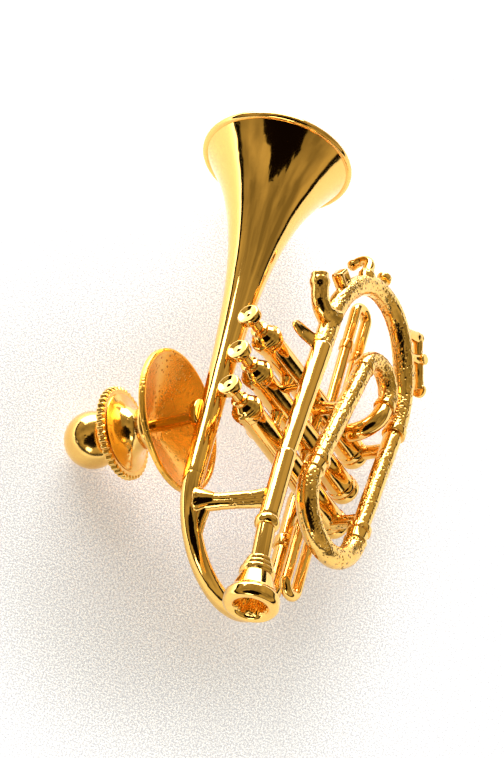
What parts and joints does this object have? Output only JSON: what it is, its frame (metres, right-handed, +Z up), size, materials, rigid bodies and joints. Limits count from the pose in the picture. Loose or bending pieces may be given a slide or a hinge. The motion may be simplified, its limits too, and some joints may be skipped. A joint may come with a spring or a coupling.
{
  "type": "cornet lapel pin",
  "caption": "Gold-plated miniature of a piston cornet, worn as a pin, with a straight post and a ball-knobbed spring clutch that grips it.",
  "frame": {"origin": "centre of the bounding box in X and Y, at the height of the table the pin lies on", "axes": "+Z up from the table, +Y the way the bell points, +X towards the player's right hand side"},
  "size_m": [0.0262, 0.0442, 0.0176],
  "materials": {
    "polished_gold": "polished gold plate",
    "cast_gold": "bright gold plate over a slightly pitted casting",
    "clutch_gold": "bright gold plate over stamped and turned brass",
    "post_gold": "drawn wire, gold plated",
    "spring_wire": "drawn spring wire",
    "ball_steel": "polished balls"
  },
  "bodies": {
    "horn": {"bell": "polished_gold", "bell_brace": "cast_gold", "bell_crook": "polished_gold", "bell_return_leg": "polished_gold", "bell_rim_bead": "polished_gold", "bow_knob": "cast_gold", "bow_ring": "polished_gold", "casing_stay": "cast_gold", "crook_ferrule": "polished_gold", "finger_button_1": "polished_gold", "finger_button_2": "polished_gold", "finger_button_3": "polished_gold", "finger_eye": "cast_gold", "finger_hook": "cast_gold", "first_slide": "polished_gold", "front_bow": "cast_gold", "leadpipe": "polished_gold", "lower_tube": "cast_gold", "lower_tube_stays": "cast_gold", "lyre_socket": "cast_gold", "mid_tube": "cast_gold", "mid_tube_stay": "cast_gold", "mouthpiece": "polished_gold", "mouthpiece_shank": "polished_gold", "pin_post": "post_gold", "post_pad": "polished_gold", "receiver_ring": "polished_gold", "receiver_sleeve": "polished_gold", "second_slide": "polished_gold", "slide_collars": "polished_gold", "small_bow": "cast_gold", "small_bow_rings": "polished_gold", "third_slide": "polished_gold", "thumb_tab": "cast_gold", "tuning_bow": "cast_gold", "tuning_ferrules": "polished_gold", "valve_bottom_cap_1": "polished_gold", "valve_bottom_cap_2": "polished_gold", "valve_bottom_cap_3": "polished_gold", "valve_casing_1": "polished_gold", "valve_casing_2": "polished_gold", "valve_casing_3": "polished_gold", "valve_elbow": "polished_gold", "valve_knuckles": "polished_gold", "valve_stem_1": "polished_gold", "valve_stem_2": "polished_gold", "valve_stem_3": "polished_gold", "valve_top_cap_1": "polished_gold", "valve_top_cap_2": "polished_gold", "valve_top_cap_3": "polished_gold", "water_key_lever": "cast_gold", "water_key_posts": "cast_gold"},
    "spring_coil": {"clutch_spring": "spring_wire"},
    "clutch_shell": {"clutch_dish": "clutch_gold", "clutch_housing": "clutch_gold", "clutch_knurled_ring": "clutch_gold"},
    "knob": {"clutch_plunger": "clutch_gold", "clutch_knob": "clutch_gold", "grip_balls": "ball_steel"}
  },
  "joints": [
    {"name": "clutch_off", "type": "slide", "parent": "horn", "child": "spring_coil", "axis": [-0.6782, -0.1811, -0.7123], "range_m": [-0.0009, 0.012]},
    {"name": "clutch_spin", "type": "hinge", "parent": "spring_coil", "child": "clutch_shell", "pos_m": [-0.00784, -0.00533, 0.00544], "axis": [-0.6782, -0.1811, -0.7123], "continuous": true},
    {"name": "knob_pull", "type": "slide", "parent": "clutch_shell", "child": "knob", "axis": [-0.6782, -0.1811, -0.7123], "range_m": [0, 0.0006], "stiffness_N_per_m": 500, "springref_m": -0.001, "deforming": ["clutch_spring"]}
  ]
}
